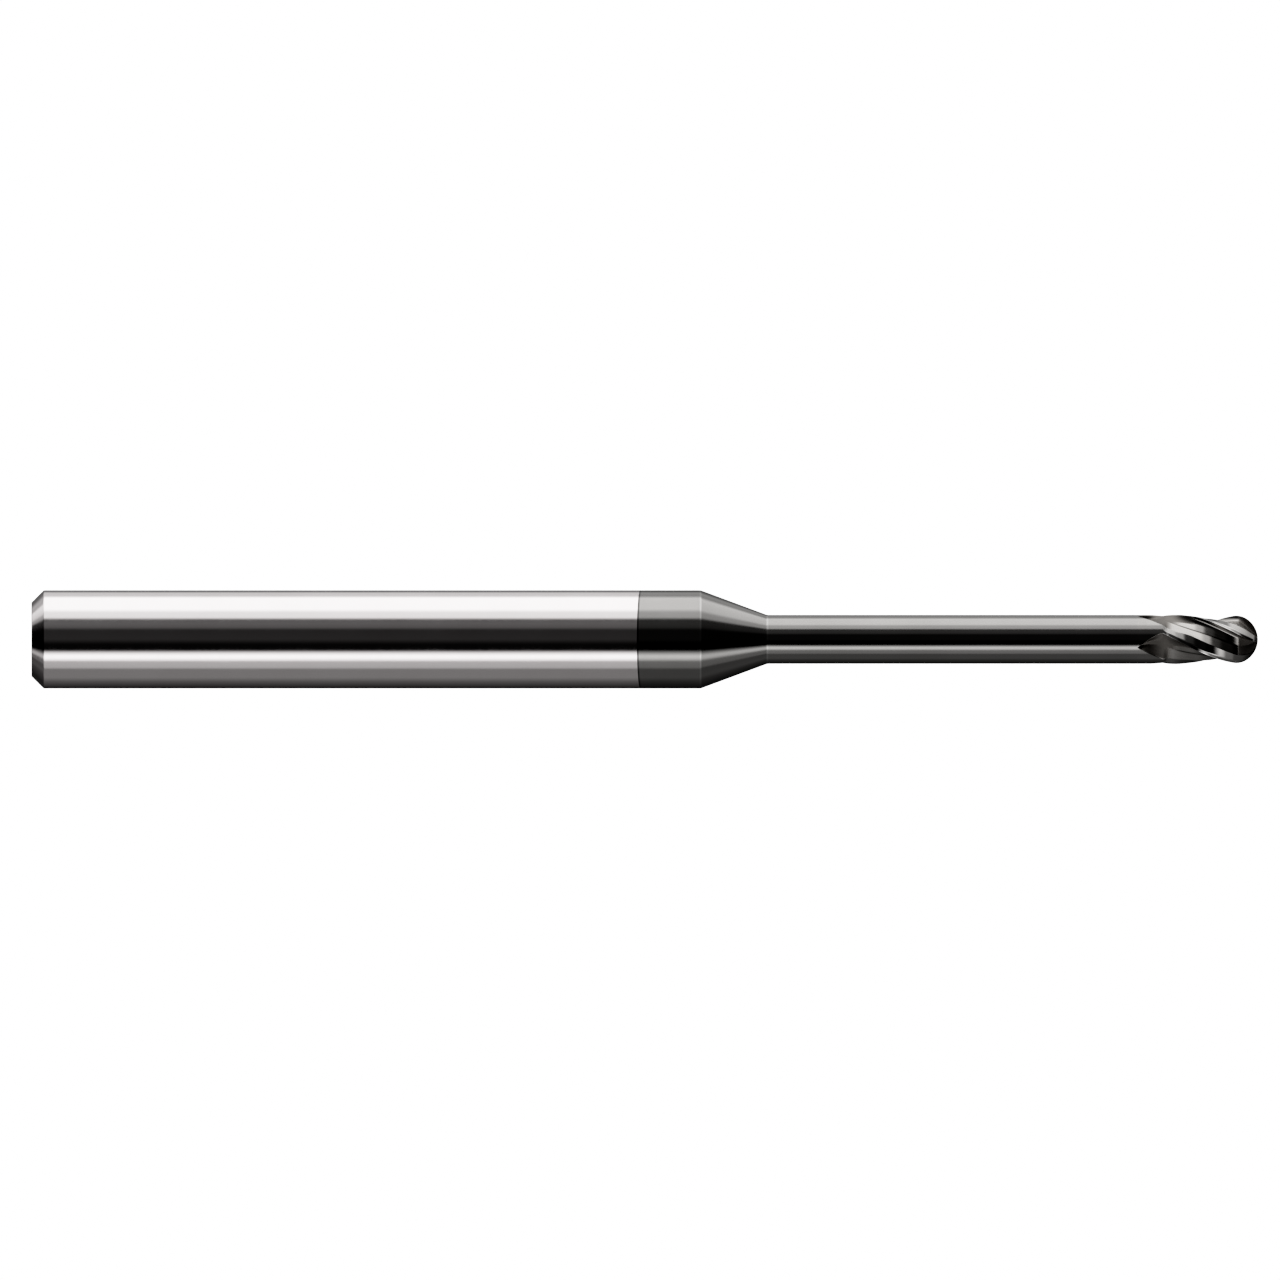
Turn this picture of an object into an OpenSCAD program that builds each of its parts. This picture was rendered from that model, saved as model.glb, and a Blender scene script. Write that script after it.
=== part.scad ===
// Long-reach ball-nose end mill with four right-hand helical flutes.
// The tool axis is +X and the ball nose points along +X. The origin is the centre of the
// shank's flat back face. Millimetres and degrees throughout.

/* [Shank] */
// Length from the back face to the tip of the ball nose
overall_length = 75; // [60:1:100]
// Diameter of the ground shank that the collet grips
shank_d = 6; // [5:0.5:8]
// Width of the 45 degree chamfer round the back face
back_chamfer = 0.75; // [0.3:0.05:1.2]
// Length of the coated band at the front of the shank
band_length = 3.7; // [1:0.1:8]

/* [Neck] */
// Distance from the tip back to the start of the taper
reach = 30; // [15:1:40]
// Diameter of the relieved neck, a little under the cutter
neck_d = 2.97; // [2.85:0.01:2.97]
// Angle of the taper to the axis
taper_angle = 20.4; // [12:0.1:30]

/* [Cutting head] */
// Cutting diameter, which is also the ball's diameter
cutter_d = 3; // [2.98:0.01:3.1]
// Length of cut, from the tip to where the relieved lands start to fade
cut_length = 5.5; // [3:0.1:8]
// Length over which the lands fade to the neck's diameter
land_fade = 0.3; // [0.2:0.1:1]
// Length over which each flute runs out of the neck
runout_length = 1.55; // [1:0.05:3]
// Helix angle of the cutting edges
helix_angle = 28; // [20:1:40]
// Direction of the first cutting edge at the tip, from +Y towards +Z
edge_phase = 12.6; // [0:0.1:90]

/* [Tooth form] */
// Diameter across the floor of the flutes, as a share of the cutter's
floor_share = 0.68; // [0.56:0.01:0.7]
// Radial rake, the lean of the rake face under the edge
rake = 8; // [0:1:14]
// Angle across the primary land
primary_span = 8; // [5:1:12]
// Angle from the cutting edge back to the heel
heel_span = 29; // [25:1:36]
// Angle between the cutting edge's direction and the primary land's normal
primary_tilt = 16; // [12:1:20]
// Angle between the cutting edge's direction and the secondary land's normal
secondary_tilt = 36; // [30:1:40]
// Radius of the flutes' floor where the teeth meet at the tip
web_r = 0.1; // [0.06:0.01:0.15]
// Rise of the end gashes' floor, radius for each millimetre back from the tip
gash_slope = 0.8; // [0.6:0.05:1]

/* [Hidden] */
function mix(a, b, t) = a + (b - a) * t;

teeth = 4;
pitch = 360 / teeth;
shank_r = shank_d / 2;
neck_r = neck_d / 2;
cutter_r = cutter_d / 2;
floor_r = cutter_r * floor_share;

lead = PI * cutter_d / tan(helix_angle);
twist_rate = 360 / lead;               // degrees for each millimetre along the axis

taper_length = (shank_r - neck_r) / tan(taper_angle);
taper_start = overall_length - reach - taper_length;
band_start = taper_start - band_length;
teeth_length = cut_length + land_fade;
head_length = teeth_length + runout_length;
neck_end = overall_length - head_length;
gash_length = (floor_r - web_r) / gash_slope;

// Where a flute's faces meet, as angles ahead of the edge that the flute serves
toe_angle = 9;                         // the foot of the rake face
joint_angle = 34.5;                    // where the floor meets the next tooth's back wall
joint_gap = 0.4;                       // angle left open between two teeth there
floor_start = joint_angle - joint_gap / 2;
floor_end = joint_angle + joint_gap / 2;
toe_rise = 1.06;                       // radius at the foot of the rake face, as a share of the floor's
seat_share = 0.66;                     // radius of the core under the teeth, as a share of the floor's
nose_share = 0.8;                      // the floor's greatest share of the ball's radius, near the tip
rise_start = mix(cutter_r, teeth_length, 0.55);   // from here back the floor rises
rise_power = 1.5;

// The same where the flutes start to run out, which they reach gradually
widening_start = 4;
widening_end = 5.4;
start_heel_span = 20;
start_toe_angle = 22;
start_toe_rise = 1.03;
start_lean = 50;                       // lean of the rake face
runout_lean = 80;                      // its lean at the run-out's point
runout_aim = 67;                       // where the run-out's point lies
runout_power = 1.2;                    // how the run-out's front edge sweeps to its point
floor_power = 1.6;                     // and how its floor does
runout_cut = 0.97;                     // share of the run-out kept, so its point stays solid
handle = 0.36;                         // Bezier handle, as a share of the wall's chord

// Facet counts
primary_steps = 1;
secondary_steps = 2;
collar_steps = 5;
rake_steps = 5;
floor_steps = 2;
back_steps = 2;
seat_steps = 6;
nose_rings = 8;
ball_rings = 3;
body_rings = 20;
runout_rings = 11;
tip_angle = 4;                         // where the first ring lies on the ball
round_fn = 96;
seat_span = pitch - (floor_end - floor_start);
flare_start = nose_rings + ball_rings + ceil(body_rings * 0.55);   // ring at which the floor starts to rise
ring_twist = (teeth_length - cutter_r) / body_rings * twist_rate;
// The teeth's faceted seats stand off by this much, so that they clear the round core
seat_stand_off = 1 / cos((seat_span / seat_steps + ring_twist) / 2);

function smooth(t) = let (c = max(0, min(1, t))) c * c * (3 - 2 * c);

// Ring positions: distance back from the tip
gash_angle = acos(1 - gash_length / cutter_r);
function on_ball(a) = cutter_r * (1 - cos(a));
ring_s = concat(
    [for (i = [0:nose_rings]) on_ball(mix(tip_angle, gash_angle, i / nose_rings))],
    [for (i = [1:ball_rings]) on_ball(mix(gash_angle, 90, i / ball_rings))],
    [for (i = [1:body_rings]) mix(cutter_r, teeth_length, i / body_rings)]
);

// Radii at the distance s from the tip
function ball_r(s) = s >= cutter_r ? cutter_r : sqrt(s * (2 * cutter_r - s));
function land_form(s) = smooth((teeth_length - s) / land_fade);

// The lands are flat. Each gives the radius at the angle a behind the edge, as a share of the edge's.
function flat_share(a, tilt, start, share) = share * cos(start - tilt) / cos(a - tilt);
margin_share = flat_share(primary_span, primary_tilt, 0, 1);
function land_share(a) = a <= primary_span
    ? flat_share(a, primary_tilt, 0, 1)
    : flat_share(a, secondary_tilt, primary_span, margin_share);
function land_r(s, a) = mix(neck_r, ball_r(s) * land_share(a), land_form(s));

// The flutes' floor rises from the web in the end gashes, runs level, then rises out of the neck
function rise(s) = pow(max(0, (s - rise_start) / (head_length - rise_start)), rise_power);
function root_r(s) = min(nose_share * ball_r(s), web_r + gash_slope * s, mix(floor_r, neck_r, rise(s)));

function widening(s) = smooth((s - widening_start) / (widening_end - widening_start));
function heel_at(s) = mix(heel_span, start_heel_span, widening(s));
function toe_at(s) = mix(toe_angle, start_toe_angle, widening(s));
function toe_r(s) = root_r(s) * mix(toe_rise, start_toe_rise, widening(s));
function lean_at(s) = mix(-rake, start_lean, widening(s));
function edge_angle(s, k) = edge_phase - twist_rate * s + pitch * k;

// Section geometry in a tooth's own frame: [ahead of the edge, outwards]
function outwards(a) = [sin(a), cos(a)];
function ahead(a) = [cos(a), -sin(a)];
function polar(r, a) = r * outwards(a);
function bezier(p, dp, q, dq, t) = let (h = handle * norm(q - p), p1 = p + h * dp, q1 = q - h * dq)
    pow(1 - t, 3) * p + 3 * t * pow(1 - t, 2) * p1 + 3 * t * t * (1 - t) * q1 + pow(t, 3) * q;

function straight(p, q, steps) = [for (i = [0:steps - 1]) mix(p, q, i / steps)];

// A flute's front runs from the edge down the rake face to its foot, then along the floor
function flute_front(edge_r, edge_a, lean, toe, floor) =
    let (
        down = -cos(lean) * outwards(edge_a) + sin(lean) * ahead(edge_a),
        along = (floor - toe) / norm(floor - toe)
    )
    concat(
        [for (i = [1:rake_steps]) bezier(polar(edge_r, edge_a), down, toe, along, i / rake_steps)],
        [for (i = [1:floor_steps]) mix(toe, floor, i / floor_steps)]
    );

// The row frame's point for a section point, with the tooth's edge in the direction a
function place(s, a, p) = [overall_length - s,
    p[1] * cos(a) - p[0] * sin(a), p[1] * sin(a) + p[0] * cos(a)];

// A tooth's section: back wall, secondary land, primary land, rake face and floor, and the seat on
// the core with a side at each end that faces the next tooth
function tooth_section(s) =
    let (
        root = root_r(s),
        seat = root * seat_share * seat_stand_off,
        back_a = floor_end - pitch,
        heel = heel_at(s),
        toe = polar(toe_r(s), toe_at(s))
    )
    concat(
        straight(polar(root, back_a), polar(land_r(s, heel), -heel), back_steps),
        [for (i = [0:secondary_steps - 1]) let (a = mix(heel, primary_span, i / secondary_steps))
            polar(land_r(s, a), -a)],
        [for (i = [0:primary_steps]) let (a = mix(primary_span, 0, i / primary_steps))
            polar(land_r(s, a), -a)],
        flute_front(land_r(s, 0), 0, lean_at(s), toe, polar(root, floor_start)),
        [for (i = [0:seat_steps]) polar(seat, mix(floor_start, back_a, i / seat_steps))]
    );

// The run-out's section over one pitch, where t goes from the teeth (0) to the plain neck (1)
function runout_section(t) =
    let (
        s = mix(teeth_length, head_length, t),
        r = root_r(s),
        edge_a = runout_aim * pow(t, runout_power),
        heel_a = mix(pitch - start_heel_span, runout_aim, t),
        turn = pow(t, floor_power),
        toe = polar(r * mix(start_toe_rise, 1, t), mix(start_toe_angle, runout_aim, turn)),
        floor = polar(r, mix(floor_start, runout_aim, turn)),
        back = polar(r, mix(floor_end, runout_aim + 0.5, turn))
    )
    concat(
        [for (i = [0:collar_steps]) polar(neck_r, mix(heel_a - pitch, edge_a, i / collar_steps))],
        flute_front(neck_r, edge_a, mix(start_lean, runout_lean, t), toe, floor),
        straight(back, polar(neck_r, heel_a), back_steps)
    );

// A closed solid through rings of equally many points, the first ring nearest the tip
module loft(rings) {
    n = len(rings[0]);
    last = (len(rings) - 1) * n;
    sides = [for (i = [0:len(rings) - 2], j = [0:n - 1])
        let (a = i * n + j, b = i * n + (j + 1) % n)
        each [[a, b, b + n], [a, b + n, a + n]]];
    tip_cap = [for (j = [n - 1:-1:0]) j];
    back_cap = [for (j = [0:n - 1]) last + j];
    polyhedron([for (ring = rings) each ring], concat(sides, [tip_cap, back_cap]));
}

// A solid of revolution about the tool axis, between x0 and x1
module turned(x0, x1, r0, r1) {
    translate([x0, 0, 0]) rotate([0, 90, 0]) cylinder(h = x1 - x0, r1 = r0, r2 = r1, $fn = round_fn);
}

module shank() {
    color([0.78, 0.77, 0.76]) union() {
        turned(0, back_chamfer, shank_r - back_chamfer, shank_r);
        turned(back_chamfer, band_start, shank_r, shank_r);
    }
}

module coated_band() {
    color([0.34, 0.33, 0.33]) turned(band_start, taper_start, shank_r, shank_r);
}

module neck_taper() {
    color([0.32, 0.31, 0.31]) turned(taper_start, taper_start + taper_length, shank_r, neck_r);
}

module neck() {
    color([0.34, 0.33, 0.33]) turned(taper_start + taper_length, neck_end, neck_r, neck_r);
}

module flute_runout() {
    color([0.28, 0.27, 0.26]) loft([for (i = [0:runout_rings])
        let (t = runout_cut * i / runout_rings, s = teeth_length + runout_length * i / runout_rings)
        [for (k = [0:teeth - 1]) each [for (p = runout_section(t))
            place(s, edge_angle(s, k), p)]]]);
}

module head_core() {
    color([0.3, 0.29, 0.29]) union() {
        for (i = [flare_start:len(ring_s) - 2]) core_step(ring_s[i], ring_s[i + 1]);
        core_step(gash_length, ring_s[flare_start]);
        core_step(on_ball(tip_angle), gash_length);
    }
}

// A stretch of the core between two distances from the tip
module core_step(near, far) {
    turned(overall_length - far, overall_length - near,
           root_r(far) * seat_share, root_r(near) * seat_share);
}

module tooth(number) {
    color([0.36, 0.35, 0.34]) loft([for (s = ring_s)
        [for (p = tooth_section(s)) place(s, edge_angle(s, number - 1), p)]]);
}

shank();
coated_band();
neck_taper();
neck();
flute_runout();
head_core();
tooth(1);  // tooth_1
tooth(2);  // tooth_2
tooth(3);  // tooth_3
tooth(4);  // tooth_4
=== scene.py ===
"""Looks for the long-reach ball-nose end mill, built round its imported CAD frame.

The tool lies along X with its ball nose at +X. Lengths are in metres, so a value in millimetres is
multiplied by MM. Angles round the tool axis run from +Y towards +Z. In the cutting head, s is the
distance back from the tip, and a is the angle round the axis from a tooth's edge.
"""

import math

import bpy
import numpy as np
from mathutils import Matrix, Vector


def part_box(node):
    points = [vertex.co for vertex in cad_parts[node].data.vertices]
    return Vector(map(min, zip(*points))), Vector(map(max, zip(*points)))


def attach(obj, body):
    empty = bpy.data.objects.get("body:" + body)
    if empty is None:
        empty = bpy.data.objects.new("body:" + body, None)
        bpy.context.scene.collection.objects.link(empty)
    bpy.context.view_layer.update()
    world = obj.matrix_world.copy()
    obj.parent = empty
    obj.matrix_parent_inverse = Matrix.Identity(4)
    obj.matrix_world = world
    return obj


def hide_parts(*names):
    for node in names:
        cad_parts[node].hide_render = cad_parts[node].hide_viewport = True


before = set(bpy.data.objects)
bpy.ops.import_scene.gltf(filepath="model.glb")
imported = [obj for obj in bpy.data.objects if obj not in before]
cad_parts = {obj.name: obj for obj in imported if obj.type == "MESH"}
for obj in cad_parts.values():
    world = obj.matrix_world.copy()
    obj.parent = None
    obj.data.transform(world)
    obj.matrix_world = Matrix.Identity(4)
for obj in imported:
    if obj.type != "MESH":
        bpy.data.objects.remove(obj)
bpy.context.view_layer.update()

MM = 0.001
TEETH = 4


# ---- Sizes read from the frame ----------------------------------------------------------------

def mix(a, b, t):
    return a + (b - a) * t


def smooth(t):
    t = min(1.0, max(0.0, t))
    return t * t * (3 - 2 * t)


def span(node):
    """Where a CAD node starts and ends along the tool axis."""
    low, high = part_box(node)
    return low.x, high.x


def radius(node):
    """A CAD node's largest radius about the tool axis."""
    return max(math.hypot(v.co.y, v.co.z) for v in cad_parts[node].data.vertices)


SHANK_R = radius("shank")
NECK_R = radius("neck")
CUTTER_R = radius("tooth_1")
BAND_START, TAPER_START = span("coated_band")
NECK_START, RUNOUT_START = span("neck")
TEETH_START, CORE_END = span("head_core")
FIRST_RING = math.radians(4)        # the CAD's teeth and core end this far round the ball from the tip
TIP_GAP = CUTTER_R * (1 - math.cos(FIRST_RING))
TIP_X = CORE_END + TIP_GAP
TEETH_LENGTH = TIP_X - TEETH_START
RUNOUT_LENGTH = TEETH_START - RUNOUT_START

# ---- Values that part.scad drives and the boxes don't show -------------------------------------

BACK_CHAMFER = 0.75 * MM
FLOOR_R = CUTTER_R * 0.68           # radius of the flutes' floor
HELIX_ANGLE = math.radians(28)
EDGE_PHASE = math.radians(12.6)     # where the first edge would meet the tip

# A tooth along most of the head
RAKE = math.radians(8)              # undercut of the rake face
PRIMARY_SPAN = math.radians(8)      # the primary land's share of the circle
HEEL_SPAN = math.radians(29)        # and how far behind the edge the secondary land ends
PRIMARY_TILT = math.radians(16)     # the lands are flat, and tilt this far back from the edge
SECONDARY_TILT = math.radians(36)
TOE_ANGLE = math.radians(9)         # the toe is the foot of the rake face
TOE_RISE = 1.06                     # its radius, as a share of the floor's
JOINT_ANGLE = math.radians(34.5)    # where the floor meets the next tooth's back wall
JOINT_GAP = math.radians(0.4)
FLOOR_START = JOINT_ANGLE - JOINT_GAP / 2
FLOOR_END = JOINT_ANGLE + JOINT_GAP / 2
SEAT_SHARE = 0.66                   # radius of the core under the teeth, as a share of the floor's

# The end gashes, where the floor drops to the tip
WEB_R = 0.1 * MM
GASH_SLOPE = 0.8
NOSE_SHARE = 0.8                    # the floor stays within this share of the ball's radius

# Where the teeth start, at the back of the head
LAND_FADE = 0.3 * MM                # the lands fade out to the neck over this length
WIDENING_START = 4 * MM             # from here back the flutes grow wider and flatter
WIDENING_END = 5.4 * MM
START_HEEL_SPAN = math.radians(20)
START_TOE_ANGLE = math.radians(22)
START_TOE_RISE = 1.03
START_LEAN = math.radians(50)       # lean of the rake face
RISE_START = mix(CUTTER_R, TEETH_LENGTH, 0.55)      # from here back the floor rises
RISE_POWER = 1.5

# The scoops of the run-out, behind the teeth
RUNOUT_LEAN = math.radians(80)
RUNOUT_AIM = math.radians(67)       # where a scoop comes to its point
RUNOUT_POWER = 1.2                  # how its edge turns towards the point
FLOOR_POWER = 1.6                   # and how its floor does
RUNOUT_CUT = 0.995                  # the scoop stops just short of its point
POINT_WIDTH = math.radians(0.5)     # and is this wide there
HANDLE = 0.36                       # length of a curve's handles, as a share of its chord

PITCH = 2 * math.pi / TEETH
TWIST_RATE = math.tan(HELIX_ANGLE) / CUTTER_R
HEAD_LENGTH = TEETH_LENGTH + RUNOUT_LENGTH
GASH_LENGTH = (FLOOR_R - WEB_R) / GASH_SLOPE

# ---- Detail that only the looks have -----------------------------------------------------------

EDGE_ROUND = 0.05 * MM          # rounding of the turned edges
CORNER_FILLET = 0.09 * MM       # rounding where the taper meets the shank and the neck
COATING_LEAN = 0.2 * MM         # the coating starts on a slightly tilted circle
COATING_LINE = 0.13 * MM        # width of the dark line where it starts
EDGE_HIGHLIGHT_WIDTH = 0.07 * MM           # width of the painted highlight along the cutting edges, which also stands for worn coating
MARGIN_HIGHLIGHT = 0.6               # strength of the same painted highlight where the two lands meet
CREASE_SHADE_WIDTH = 0.07 * MM              # width of the painted shade along the flutes' crease
SEAT_SINK = 0.99                # a tooth's hidden seat lies inside the core
SHARP_FLUTES = 24               # degrees past which an edge of the fluted pieces shades sharp
SHARP_TURNED = 30

# Where each face of a flute turns matte towards the run-out, and over what length
MATTE_RAKE = (3.7 * MM, 0.5 * MM)
MATTE_FLOOR = (4.6 * MM, 0.7 * MM)
MATTE_BACK = (5.2 * MM, 0.4 * MM)
GASH_OVERLAP = 0.12 * MM        # the end gashes' matte finish starts this far behind them
GASH_BLEND = 0.17 * MM

# Steps of the meshes
ROUND_SEGMENTS = 256
EDGE_STEPS = 6
FILLET_STEPS = 8
RAKE_STEPS = 24
FLOOR_STEPS = 8
BACK_STEPS = 10
SECONDARY_STEPS = 8
PRIMARY_STEPS = 6
SEAT_STEPS = 10
BALL_STEPS = 60
BODY_STEPS = 110
DOME_STEPS = 6
CORE_GASH_STEPS = 24
CORE_BODY_STEPS = 60
RUNOUT_STEPS = 60
COLLAR_STEPS = 24


# ---- Mesh helpers ------------------------------------------------------------------------------

def add_attribute(mesh, name, values):
    layer = mesh.attributes.new(name, "FLOAT", "POINT")
    layer.data.foreach_set("value", np.asarray(values, np.float32))


def skin(name, rings, marks=None, sharp_angle=SHARP_TURNED):
    """A closed piece through rings of equally many points, with a flat face across each end.

    rings is an array of rings by points by XYZ. marks gives each point attribute's values. An edge
    shades sharp where its faces turn by more than sharp_angle degrees.
    """
    count, around = rings.shape[:2]
    faces = []
    for i in range(count - 1):
        for j in range(around):
            a = i * around + j
            b = i * around + (j + 1) % around
            faces.append((a, b, b + around, a + around))
    faces.append(tuple(reversed(range(around))))
    faces.append(tuple(range((count - 1) * around, count * around)))
    mesh = bpy.data.meshes.new(name)
    mesh.from_pydata(rings.reshape(-1, 3).tolist(), [], faces)
    for mark, values in (marks or {}).items():
        add_attribute(mesh, mark, np.asarray(values).reshape(-1))
    mesh.shade_smooth()
    mesh.set_sharp_from_angle(angle=math.radians(sharp_angle))
    piece = bpy.data.objects.new(name, mesh)
    bpy.context.scene.collection.objects.link(piece)
    return piece


def finish_piece(piece, material, slot, *nodes):
    """Give a piece its material and the root body, and hide the CAD nodes that it stands for. The slot
    argument is not used.
    """
    piece.data.materials.append(material)
    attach(piece, "root")
    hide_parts(*nodes)


# ---- Turned pieces -----------------------------------------------------------------------------

def rounded(before, corner, after, size, steps=EDGE_STEPS):
    """Points of an arc-like blend that cuts a profile's corner, size along each side."""
    before, corner, after = (np.array(p, float) for p in (before, corner, after))
    start = corner + (before - corner) / np.linalg.norm(before - corner) * size
    end = corner + (after - corner) / np.linalg.norm(after - corner) * size
    points = []
    for i in range(steps + 1):
        t = i / steps
        points.append(tuple((1 - t) ** 2 * start + 2 * t * (1 - t) * corner + t * t * end))
    return points


def turned(name, profile, leans=None, marks=None):
    """A piece turned about the tool axis from (x, radius) points, its first point at the tip's end.

    leans tilts the ring at each point by that much along X. marks maps a mark's name to a function
    of x.
    """
    angles = np.linspace(0, 2 * math.pi, ROUND_SEGMENTS, endpoint=False)
    rings = np.zeros((len(profile), ROUND_SEGMENTS, 3))
    for i, (x, r) in enumerate(profile):
        lean = leans[i] if leans else 0
        rings[i, :, 0] = x + lean * np.cos(angles)
        rings[i, :, 1] = r * np.cos(angles)
        rings[i, :, 2] = r * np.sin(angles)
    values = {}
    for mark, value_at in (marks or {}).items():
        values[mark] = [[value_at(x)] * ROUND_SEGMENTS for x, _ in profile]
    return skin(name, rings, values)


def make_shank():
    chamfer_r = SHANK_R - BACK_CHAMFER
    back = (0, 0)
    face_edge = (0, chamfer_r)
    barrel_edge = (BACK_CHAMFER, SHANK_R)
    front = (BAND_START, SHANK_R)
    barrel = rounded(front, barrel_edge, face_edge, EDGE_ROUND)
    face = rounded(barrel_edge, face_edge, back, EDGE_ROUND)
    profile = [front] + barrel + face
    leans = [COATING_LEAN] + [0] * (len(profile) - 1)
    marks = {"sawn": lambda x: 1.0 if x < EDGE_ROUND / 4 else 0.0}
    return turned("shank_bare_carbide", profile, leans, marks)


def make_front_pieces():
    """The coated band, the taper and the neck, with blended corners shared between them."""
    shank_corner = (TAPER_START, SHANK_R)
    neck_corner = (NECK_START, NECK_R)
    band_back = (BAND_START, SHANK_R)
    neck_front = (RUNOUT_START, NECK_R)
    shoulder = rounded(neck_corner, shank_corner, band_back, CORNER_FILLET, FILLET_STEPS)
    throat = rounded(neck_front, neck_corner, shank_corner, CORNER_FILLET, FILLET_STEPS)
    half = len(shoulder) // 2

    def line(x):
        return max(0.0, 1 - (x - BAND_START) / COATING_LINE)

    # A painted highlight on the taper's two rounded corners, which also stands for worn coating: 1 at each
    # corner, fading out over the fillet's size.
    def corner_highlight(x):
        nearest = min(abs(x - TAPER_START), abs(x - NECK_START))
        return max(0.0, 1 - nearest / CORNER_FILLET)

    marks = {"line": line, "highlight_and_wear": corner_highlight}
    band_profile = shoulder[half:] + [(BAND_START + COATING_LINE, SHANK_R), (BAND_START, SHANK_R)]
    band_leans = [0] * (len(band_profile) - 2) + [COATING_LEAN, COATING_LEAN]
    band = turned("shank_coated_band", band_profile, band_leans, marks)
    taper = turned("neck_cone", throat[half:] + shoulder[:half + 1], None, marks)
    neck = turned("slim_neck", [neck_front] + throat[:half + 1], None, marks)
    return band, taper, neck


# ---- Cutting head ------------------------------------------------------------------------------

def ball_radius(s):
    return CUTTER_R if s >= CUTTER_R else math.sqrt(s * (2 * CUTTER_R - s))


def flat_share(a, tilt, share, start):
    """Radius at the angle a on a flat land that starts at the given angle and share."""
    return share * math.cos(start - tilt) / math.cos(a - tilt)


MARGIN_SHARE = flat_share(PRIMARY_SPAN, PRIMARY_TILT, 1, 0)


def land_radius(s, a):
    """Radius of the lands at the angle a behind the edge, fading to the neck's where they start."""
    if a <= PRIMARY_SPAN:
        share = flat_share(a, PRIMARY_TILT, 1, 0)
    else:
        share = flat_share(a, SECONDARY_TILT, MARGIN_SHARE, PRIMARY_SPAN)
    form = smooth((TEETH_LENGTH - s) / LAND_FADE)
    return mix(NECK_R, ball_radius(s) * share, form)


def widening(s):
    """0 along the head and 1 where the teeth start."""
    return smooth((s - WIDENING_START) / (WIDENING_END - WIDENING_START))


def root_radius(s):
    """The flutes' floor: rising from the web in the end gashes, level, then rising out of the neck."""
    rise = max(0.0, (s - RISE_START) / (HEAD_LENGTH - RISE_START)) ** RISE_POWER
    return min(NOSE_SHARE * ball_radius(s), WEB_R + GASH_SLOPE * s, mix(FLOOR_R, NECK_R, rise))


def edge_angle(s, number):
    """Where an edge's helix is, round the axis, at the distance s."""
    return EDGE_PHASE - TWIST_RATE * s + PITCH * number


def outwards(a):
    """The unit vector outwards at the angle a."""
    return np.array((math.sin(a), math.cos(a)))


def ahead(a):
    """The unit vector square to outwards, towards larger angles."""
    return np.array((math.cos(a), -math.sin(a)))


def polar(r, a):
    return r * outwards(a)


def bezier(p, dp, q, dq, t):
    """A point of the curve that leaves p along dp and arrives at q along dq."""
    h = HANDLE * np.linalg.norm(q - p)
    p1 = p + h * dp
    q1 = q - h * dq
    return (1 - t) ** 3 * p + 3 * t * (1 - t) ** 2 * p1 + 3 * t * t * (1 - t) * q1 + t ** 3 * q


def flute_front(edge_r, edge_a, lean, toe, floor):
    """From the edge down the rake face to its foot, the toe, and then along the floor."""
    edge = polar(edge_r, edge_a)
    down = -math.cos(lean) * outwards(edge_a) + math.sin(lean) * ahead(edge_a)
    along = (floor - toe) / np.linalg.norm(floor - toe)
    face = [bezier(edge, down, toe, along, i / RAKE_STEPS) for i in range(1, RAKE_STEPS + 1)]
    return face + [mix(toe, floor, i / FLOOR_STEPS) for i in range(1, FLOOR_STEPS + 1)]


def straight(p, q, steps):
    """Points from p towards q, without q itself."""
    return [mix(p, q, i / steps) for i in range(steps)]


def placed(s, a, section):
    """A section's points, given as ahead of and outwards from the direction a, in the row frame."""
    section = np.asarray(section)
    points = np.empty((len(section), 3))
    points[:, 0] = TIP_X - s
    points[:, 1] = section[:, 1] * math.cos(a) - section[:, 0] * math.sin(a)
    points[:, 2] = section[:, 1] * math.sin(a) + section[:, 0] * math.cos(a)
    return points


def near(point, place, reach):
    """1 at the place, falling to 0 at the given reach from it."""
    return max(0.0, 1 - np.linalg.norm(point - place) / reach)


def matte_level(s, place):
    """How matte a flute's face is: in the end gash, and again from its place back to the run-out."""
    start, length = place
    gash = smooth((GASH_LENGTH + GASH_OVERLAP - s) / GASH_BLEND)
    return max(gash, smooth((s - start) / length))


def tooth_points(s):
    """A tooth's faces in order: back wall, lands, rake face, floor and hidden seat."""
    root = root_radius(s)
    wide = widening(s)
    back_a = JOINT_ANGLE - PITCH
    heel_a = mix(HEEL_SPAN, START_HEEL_SPAN, wide)
    heel = polar(land_radius(s, heel_a), -heel_a)
    toe_r = root * mix(TOE_RISE, START_TOE_RISE, wide)
    toe = polar(toe_r, mix(TOE_ANGLE, START_TOE_ANGLE, wide))
    back = straight(polar(root, back_a), heel, BACK_STEPS)
    lands = []
    for i in range(SECONDARY_STEPS):
        a = mix(heel_a, PRIMARY_SPAN, i / SECONDARY_STEPS)
        lands.append(polar(land_radius(s, a), -a))
    for i in range(PRIMARY_STEPS + 1):
        a = mix(PRIMARY_SPAN, 0, i / PRIMARY_STEPS)
        lands.append(polar(land_radius(s, a), -a))
    lean = mix(-RAKE, START_LEAN, wide)
    front = flute_front(land_radius(s, 0), 0, lean, toe, polar(root, JOINT_ANGLE))
    seat_r = root * SEAT_SHARE * SEAT_SINK
    seat = [polar(seat_r, mix(JOINT_ANGLE, back_a, i / SEAT_STEPS)) for i in range(SEAT_STEPS + 1)]
    return back, lands, front[:RAKE_STEPS], front[RAKE_STEPS:], seat


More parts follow.
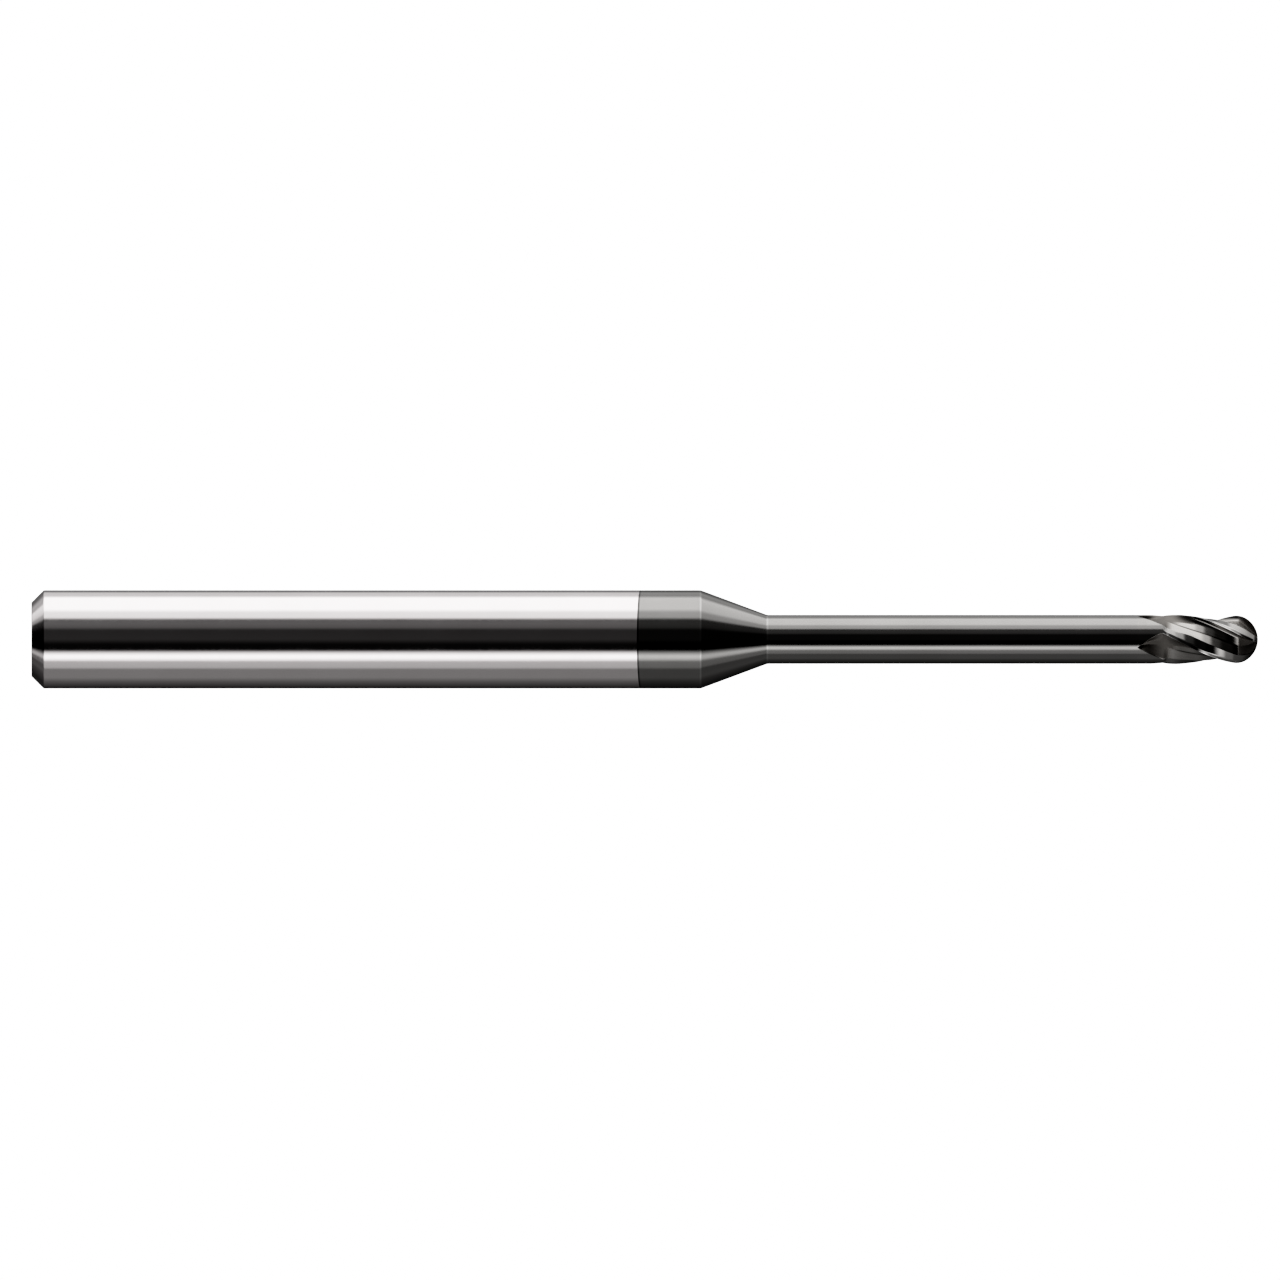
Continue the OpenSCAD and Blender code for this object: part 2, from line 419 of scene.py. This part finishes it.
def tooth_section(s):
    """One ring of a tooth's points, and the marks that drive its finish."""
    back, lands, rake, floor, seat = tooth_points(s)
    points = back + lands + rake + floor + seat
    floor_matte = matte_level(s, MATTE_FLOOR)
    matte = [matte_level(s, MATTE_BACK)] * len(back) + [0.0] * len(lands)
    matte += [matte_level(s, MATTE_RAKE)] * len(rake) + [floor_matte] * len(floor) + [0.0] * len(seat)
    land = [0.0] * len(back) + [1.0] * len(lands) + [0.0] * (len(rake) + len(floor) + len(seat))
    # The cutting edge and the margin between the lands get a painted highlight, which also stands for worn
    # coating.
    margin = polar(land_radius(s, PRIMARY_SPAN), -PRIMARY_SPAN)
    edge = polar(land_radius(s, 0), 0)
    highlight_and_wear = [max(near(p, edge, EDGE_HIGHLIGHT_WIDTH), MARGIN_HIGHLIGHT * near(p, margin, EDGE_HIGHLIGHT_WIDTH)) for p in points]
    # Painted shade along the crease where the floor meets the next tooth's back wall, fading out where the
    # floor turns matte.
    crease_shade = [(1 - floor_matte) * max(near(p, floor[-1], CREASE_SHADE_WIDTH), near(p, back[0], CREASE_SHADE_WIDTH)) for p in points]
    return points, {"land": land, "highlight_and_wear": highlight_and_wear, "matte": matte, "crease_shade": crease_shade}


def head_stations():
    """Distances back from the tip at which the teeth get a ring, closer together on the ball."""
    around = [mix(FIRST_RING, math.pi / 2, i / BALL_STEPS) for i in range(BALL_STEPS + 1)]
    on_ball = [CUTTER_R * (1 - math.cos(angle)) for angle in around]
    on_body = [mix(CUTTER_R, TEETH_LENGTH, i / BODY_STEPS) for i in range(1, BODY_STEPS + 1)]
    return on_ball + on_body


def make_teeth():
    stations = head_stations()
    sections = [tooth_section(s) for s in stations]
    marks = {mark: [marked[mark] for _, marked in sections] for mark in sections[0][1]}
    teeth = []
    for number in range(TEETH):
        rings = [placed(s, edge_angle(s, number), points) for s, (points, _) in zip(stations, sections)]
        teeth.append(skin(f"cutter_tooth_{number + 1}", np.array(rings), marks, SHARP_FLUTES))
    return teeth


def make_core():
    """The round core between the teeth, with a small domed point at the tip."""
    profile = []
    for i in range(1, DOME_STEPS + 1):
        s = TIP_GAP * (i / DOME_STEPS) ** 2
        profile.append((TIP_X - s, ball_radius(s) * SEAT_SHARE))
    stations = list(np.linspace(TIP_GAP * 1.5, GASH_LENGTH, CORE_GASH_STEPS))
    stations += list(np.linspace(GASH_LENGTH, TEETH_LENGTH, CORE_BODY_STEPS))[1:]
    profile += [(TIP_X - s, root_radius(s) * SEAT_SHARE) for s in stations]
    # The core shows only as a thin strip at that crease. The mark below paints all of it dark as painted
    # shade, apart from the domed point.
    marks = {"matte": lambda x: 1.0, "crease_shade": lambda x: 0.0 if TIP_X - x <= TIP_GAP else 1.0}
    return turned("cutter_core", profile, None, marks)


def runout_section(t):
    """A quarter of the neck and the scoop in it, with t from the teeth (0) to the scoop's point (1)."""
    r = root_radius(mix(TEETH_LENGTH, HEAD_LENGTH, t))
    edge_a = RUNOUT_AIM * t ** RUNOUT_POWER
    heel_a = mix(PITCH - START_HEEL_SPAN, RUNOUT_AIM, t)
    turn = t ** FLOOR_POWER
    toe = polar(r * mix(START_TOE_RISE, 1, t), mix(START_TOE_ANGLE, RUNOUT_AIM, turn))
    floor = polar(r, mix(FLOOR_START, RUNOUT_AIM, turn))
    back = polar(r, mix(FLOOR_END, RUNOUT_AIM + POINT_WIDTH, turn))
    points = []
    for i in range(COLLAR_STEPS + 1):
        points.append(polar(NECK_R, mix(heel_a - PITCH, edge_a, i / COLLAR_STEPS)))
    points += flute_front(NECK_R, edge_a, mix(START_LEAN, RUNOUT_LEAN, t), toe, floor)
    points += straight(back, polar(NECK_R, heel_a), BACK_STEPS)
    land = [1.0] * (COLLAR_STEPS + 1) + [0.0] * (RAKE_STEPS + FLOOR_STEPS + BACK_STEPS)
    return points, land


def make_runout():
    rings = []
    land = []
    for i in range(RUNOUT_STEPS + 1):
        s = TEETH_LENGTH + RUNOUT_LENGTH * i / RUNOUT_STEPS
        section, finish = runout_section(RUNOUT_CUT * i / RUNOUT_STEPS)
        ring = [placed(s, edge_angle(s, k), section) for k in range(TEETH)]
        rings.append(np.concatenate(ring))
        land.append(finish * TEETH)
    marks = {"land": land, "highlight_and_wear": np.zeros_like(land), "matte": 1 - np.array(land)}
    return skin("flute_runout_scoops", np.array(rings), marks, SHARP_FLUTES)


# ---- Materials ---------------------------------------------------------------------------------

def grey(level, warmth=0.0, coolness=None):
    """A grey with a little more red, and as much less blue unless coolness says how much."""
    blue = warmth if coolness is None else coolness
    return (level * (1 + warmth), level, level * (1 - blue), 1.0)


BARE_TONES = (grey(0.66, 0.045, 0.002), grey(0.72, 0.035, 0.0))
COATED_TONES = (grey(0.27, 0.02), grey(0.31, 0.015))
LAND_TONES = (grey(0.27, 0.02), grey(0.33, 0.02))
FLUTE_TONES = (grey(0.26, 0.03), grey(0.46, 0.03))
MATTE_TONES = (grey(0.24, 0.05), grey(0.31, 0.04))
# Painted highlight on the taper's corners, which also stands for worn coating.
CORNER_HIGHLIGHT_TONE = grey(0.6, 0.01)
# Painted highlight along the cutting edges, which also stands for worn coating.
EDGE_HIGHLIGHT_TONE = grey(0.62, 0.01)
COATING_START = grey(0.05, 0.02)
# Painted shade along the flutes' crease and on the core strip that shows there.
CREASE_SHADE_TONE = grey(0.05, 0.05)

BARE_ROUGHNESS = (0.09, 0.15)
COATED_ROUGHNESS = (0.10, 0.15)
LAND_ROUGHNESS = (0.10, 0.15)
FLUTE_ROUGHNESS = (0.13, 0.22)
SAWN_ROUGHNESS = 0.55
MATTE_ROUGHNESS = 0.6
CORNER_HIGHLIGHT = 0.3               # strength of the painted highlight on the taper's corners, which also stands for worn coating

# Bump strengths and depths
RINGS_BUMP = (0.35, 0.0004 * MM)
STREAKS_BUMP = (0.4, 0.0015 * MM)

# Noise scales, in cells to a metre
PATCH_SCALE = 350
RING_SCALE = 12000
BAND_SCALE = 2600
STREAK_SCALE = 14000
FLUTE_PATCH_SCALE = 1500


class Tree:
    """A small helper that adds and links shader nodes."""

    def __init__(self, owner):
        owner.use_nodes = True
        self.tree = owner.node_tree
        self.tree.nodes.clear()

    def add(self, kind, inputs=None, **settings):
        node = self.tree.nodes.new(kind)
        for key, value in settings.items():
            setattr(node, key, value)
        for key, value in (inputs or {}).items():
            self.feed(node.inputs[key], value)
        return node

    def feed(self, socket, value):
        if isinstance(value, bpy.types.NodeSocket):
            self.tree.links.new(value, socket)
        else:
            socket.default_value = value

    def math(self, operation, *values):
        node = self.add("ShaderNodeMath", operation=operation)
        for socket, value in zip(node.inputs, values):
            self.feed(socket, value)
        return node.outputs[0]

    def mapped(self, value, low, high, to_low, to_high):
        inputs = {"Value": value, "From Min": low, "From Max": high, "To Min": to_low, "To Max": to_high}
        return self.add("ShaderNodeMapRange", inputs).outputs["Result"]

    def mark(self, name):
        return self.add("ShaderNodeAttribute", attribute_name=name).outputs["Fac"]

    def noise(self, vector, scale, detail=3.0, roughness=0.55):
        inputs = {"Vector": vector, "Scale": scale, "Detail": detail, "Roughness": roughness}
        return self.add("ShaderNodeTexNoise", inputs).outputs["Fac"]

    def stretched(self, vector, scale):
        inputs = {0: vector, 1: scale}
        return self.add("ShaderNodeVectorMath", inputs, operation="MULTIPLY").outputs[0]

    def blend(self, factor, a, b):
        """A colour between a and b."""
        node = self.add("ShaderNodeMix", data_type="RGBA")
        self.feed(node.inputs["Factor"], factor)
        self.feed(node.inputs[6], a)
        self.feed(node.inputs[7], b)
        return node.outputs[2]

    def between(self, factor, a, b):
        """A number between a and b."""
        return self.add("ShaderNodeMix", {"Factor": factor, 2: a, 3: b}).outputs[0]

    def metal(self, colour, roughness, bump, height):
        """Metal as the tree's surface, with a bump of the given strength and depth."""
        strength, depth = bump
        relief = self.add("ShaderNodeBump", {"Strength": strength, "Distance": depth, "Height": height})
        shader = self.add("ShaderNodeBsdfPrincipled", {
            "Base Color": colour,
            "Metallic": 1.0,
            "Roughness": roughness,
            "Normal": relief.outputs[0],
        })
        self.add("ShaderNodeOutputMaterial", {"Surface": shader.outputs[0]})


def turned_metal(name, tones, roughness, coated):
    """Metal ground between centres: fine rings round the axis, faint patches and smooth bands."""
    material = bpy.data.materials.new(name)
    t = Tree(material)
    place = t.add("ShaderNodeTexCoord").outputs["Object"]
    patches = t.noise(place, PATCH_SCALE, 4)
    rings = t.noise(t.stretched(place, (1, 0.02, 0.02)), RING_SCALE, 4, 0.65)
    bands = t.noise(t.stretched(place, (1, 0.03, 0.03)), BAND_SCALE, 2)
    colour = t.blend(patches, *tones)
    if coated:
        # Painted highlight, which also stands for worn coating, on the taper's two corners.
        colour = t.blend(t.math("MULTIPLY", t.mark("highlight_and_wear"), CORNER_HIGHLIGHT), colour, CORNER_HIGHLIGHT_TONE)
        colour = t.blend(t.mark("line"), colour, COATING_START)
    gloss = t.mapped(t.math("ADD", patches, bands), 0.6, 1.4, *roughness)
    gloss = t.between(t.mark("sawn"), gloss, SAWN_ROUGHNESS)
    t.metal(colour, gloss, RINGS_BUMP, rings)
    return material


def helix_streaks(t, place):
    """Noise drawn out along the flutes, by untwisting the place round the tool axis."""
    along = t.add("ShaderNodeSeparateXYZ", {0: place}).outputs["X"]
    turn = {"Vector": place, "Angle": t.math("MULTIPLY", along, -TWIST_RATE)}
    untwisted = t.add("ShaderNodeVectorRotate", turn, rotation_type="X_AXIS").outputs[0]
    return t.noise(t.stretched(untwisted, (0.04, 1, 1)), STREAK_SCALE, 4, 0.6)


def flute_colour(t, streaks, patches):
    """Lands and flutes, then the matte faces, the painted shade along the crease and the ragged painted
    highlights along the edges, which also stand for worn coating, over them.
    """
    colour = t.blend(t.mark("land"), t.blend(streaks, *FLUTE_TONES), t.blend(patches, *LAND_TONES))
    colour = t.blend(t.mark("matte"), colour, t.blend(streaks, *MATTE_TONES))
    # Painted shade along the flutes' crease.
    colour = t.blend(t.mark("crease_shade"), colour, CREASE_SHADE_TONE)
    # Painted highlight along the edges, which also stands for worn coating, made ragged by the patches.
    ragged = t.math("ADD", t.mark("highlight_and_wear"), t.math("MULTIPLY", patches, 0.5))
    return t.blend(t.mapped(ragged, 0.6, 1.0, 0.0, 1.0), colour, EDGE_HIGHLIGHT_TONE)


def flute_gloss(t, streaks, patches):
    flutes = t.mapped(streaks, 0.3, 0.7, *FLUTE_ROUGHNESS)
    lands = t.mapped(patches, 0.3, 0.7, *LAND_ROUGHNESS)
    gloss = t.between(t.mark("land"), flutes, lands)
    return t.between(t.mark("matte"), gloss, MATTE_ROUGHNESS)


def fluted_metal(name):
    """Wheel-ground, coated flutes and lands: streaks along the helix, and bright edges, painted highlights
    that also stand for worn coating.
    """
    material = bpy.data.materials.new(name)
    t = Tree(material)
    place = t.add("ShaderNodeTexCoord").outputs["Object"]
    streaks = helix_streaks(t, place)
    patches = t.noise(place, FLUTE_PATCH_SCALE, 3)
    colour = flute_colour(t, streaks, patches)
    gloss = flute_gloss(t, streaks, patches)
    t.metal(colour, gloss, STREAKS_BUMP, streaks)
    return material


# ---- Light tent, floor and camera --------------------------------------------------------------

# Brightness of the tent's panels, by angle round the tool: 0 faces the camera and 90 is overhead
TENT_PANELS = [
    (-180, 0.04), (-150, 0.045), (-118, 0.12), (-102, 0.2), (-75, 0.2), (-70, 0.36), (-54, 0.4),
    (-45.5, 1.1), (-39, 1.2), (-24.8, 0.02), (-12, 0.02), (0, 0.055), (22, 0.05), (28, 0.12),
    (38, 0.14), (47, 0.125), (53.3, 0.74), (67, 0.75), (76, 1.2), (114, 1.2), (124, 0.53),
    (140, 0.5), (154, 0.18), (180, 0.06),
]
TENT_SCALE = 1.25               # the ramp holds values up to 1, and this brings them back
END_DIMMING = 0.75              # how much the tent's two ends are dimmer than its middle
END_WRAP = 0.56                 # how far the dark slot that faces the camera wraps round the ends
FLOOR_LIGHT = 1.35              # strength of the same tent on the floor
FLOOR_HALF = 3.0                # half the floor's side, in metres
FLOOR_TONE = grey(0.86)
FRAME_FILL = 0.958              # the tool's length, as a share of the view's width
VIEW_CENTRE = (0.4962, -0.0005)  # the view's centre along the tool and above its axis, in tool lengths
VIEW_DISTANCE = 4               # and how far off the camera stands
# Points of the contrast curve: brightness before it and after it
PRINT_CURVE = [(0.014, 0.001), (0.034, 0.013), (0.1, 0.1), (0.25, 0.367), (0.5, 0.725)]
COMBINED = 3                    # the mapping's curve for all colours at once


def fill_ramp(ramp, panels):
    """Stops of a colour ramp from (angle in degrees, brightness) pairs over a full turn."""
    while len(ramp.elements) > 1:
        ramp.elements.remove(ramp.elements[-1])
    for i, (angle, level) in enumerate(panels):
        place = (angle + 180) / 360
        stop = ramp.elements[0] if i == 0 else ramp.elements.new(place)
        stop.position = place
        stop.color = grey(level / TENT_SCALE)


def make_tent():
    """A light tent of long soft panels, parallel to the tool. The camera sees plain white."""
    world = bpy.data.worlds.new("light_tent")
    bpy.context.scene.world = world
    t = Tree(world)
    direction = t.add("ShaderNodeTexCoord").outputs["Generated"]
    parts = t.add("ShaderNodeSeparateXYZ", {0: direction}).outputs
    end = t.math("MULTIPLY", parts["X"], parts["X"])
    wrap = t.math("POWER", t.math("ABSOLUTE", parts["X"]), 3)
    front = t.math("SUBTRACT", t.math("MULTIPLY", wrap, END_WRAP), parts["Y"])
    angle = t.math("ARCTAN2", parts["Z"], front)
    ramp = t.add("ShaderNodeValToRGB", {0: t.mapped(angle, -math.pi, math.pi, 0, 1)})
    fill_ramp(ramp.color_ramp, TENT_PANELS)
    dimming = t.mapped(end, 0, 1, 1, 1 - END_DIMMING)
    strength = t.math("MULTIPLY", dimming, TENT_SCALE)
    panels = t.add("ShaderNodeBackground", {"Color": ramp.outputs["Color"], "Strength": strength})
    on_floor = t.add("ShaderNodeBackground", {
        "Color": ramp.outputs["Color"],
        "Strength": t.math("MULTIPLY", strength, FLOOR_LIGHT),
    })
    plain = t.add("ShaderNodeBackground", {"Color": (1, 1, 1, 1), "Strength": 1.0})
    ray = t.add("ShaderNodeLightPath").outputs
    by_floor = {0: ray["Is Diffuse Ray"], 1: panels.outputs[0], 2: on_floor.outputs[0]}
    lit = t.add("ShaderNodeMixShader", by_floor)
    by_camera = {0: ray["Is Camera Ray"], 1: lit.outputs[0], 2: plain.outputs[0]}
    seen = t.add("ShaderNodeMixShader", by_camera)
    t.add("ShaderNodeOutputWorld", {"Surface": seen.outputs[0]})


def make_floor():
    """A pale floor that the shank lies on. The metal mirrors the tent and not the floor."""
    mesh = bpy.data.meshes.new("studio_floor")
    sides = [(-1, -1), (1, -1), (1, 1), (-1, 1)]
    corners = [(FLOOR_HALF * x, FLOOR_HALF * y, -SHANK_R) for x, y in sides]
    mesh.from_pydata(corners, [], [(0, 1, 2, 3)])
    floor = bpy.data.objects.new("studio_floor", mesh)
    bpy.context.scene.collection.objects.link(floor)
    material = bpy.data.materials.new("pale_floor")
    t = Tree(material)
    shader = t.add("ShaderNodeBsdfDiffuse", {"Color": FLOOR_TONE})
    t.add("ShaderNodeOutputMaterial", {"Surface": shader.outputs[0]})
    mesh.materials.append(material)
    floor.visible_glossy = False


def make_camera():
    """Level with the tool and square to it, like the photograph, and without perspective."""
    centre, height = VIEW_CENTRE
    camera_data = bpy.data.cameras.new("camera")
    camera_data.type = "ORTHO"
    camera_data.ortho_scale = TIP_X / FRAME_FILL
    camera_data.clip_start = 1 * MM
    camera_data.clip_end = 10
    camera = bpy.data.objects.new("camera", camera_data)
    camera.location = (centre * TIP_X, -VIEW_DISTANCE * TIP_X, height * TIP_X)
    camera.rotation_euler = (math.pi / 2, 0, 0)
    bpy.context.scene.collection.objects.link(camera)
    bpy.context.scene.camera = camera


def set_print():
    """Display as on a product print: plain sRGB with a contrast curve."""
    view = bpy.context.scene.view_settings
    view.view_transform = "Standard"
    view.look = "None"
    view.use_curve_mapping = True
    curve = view.curve_mapping.curves[COMBINED]
    for level, printed in PRINT_CURVE:
        curve.points.new(level, printed)
    view.curve_mapping.update()


# ---- Build -------------------------------------------------------------------------------------

make_camera()
make_tent()
set_print()
make_floor()

bare = turned_metal("bare_ground_carbide", BARE_TONES, BARE_ROUGHNESS, coated=False)
coated = turned_metal("coated_ground_carbide", COATED_TONES, COATED_ROUGHNESS, coated=True)
fluted = fluted_metal("coated_wheel_ground_flutes")

finish_piece(make_shank(), bare, "ground_carbide", "shank")
band, taper, neck = make_front_pieces()
finish_piece(band, coated, "coated_carbide", "coated_band")
finish_piece(taper, coated, "coated_carbide", "neck_taper")
finish_piece(neck, coated, "coated_carbide", "neck")
finish_piece(make_runout(), fluted, "coated_flutes", "flute_runout")
finish_piece(make_core(), fluted, "coated_flutes", "head_core")
for number, tooth in enumerate(make_teeth(), 1):
    finish_piece(tooth, fluted, "coated_flutes", f"tooth_{number}")
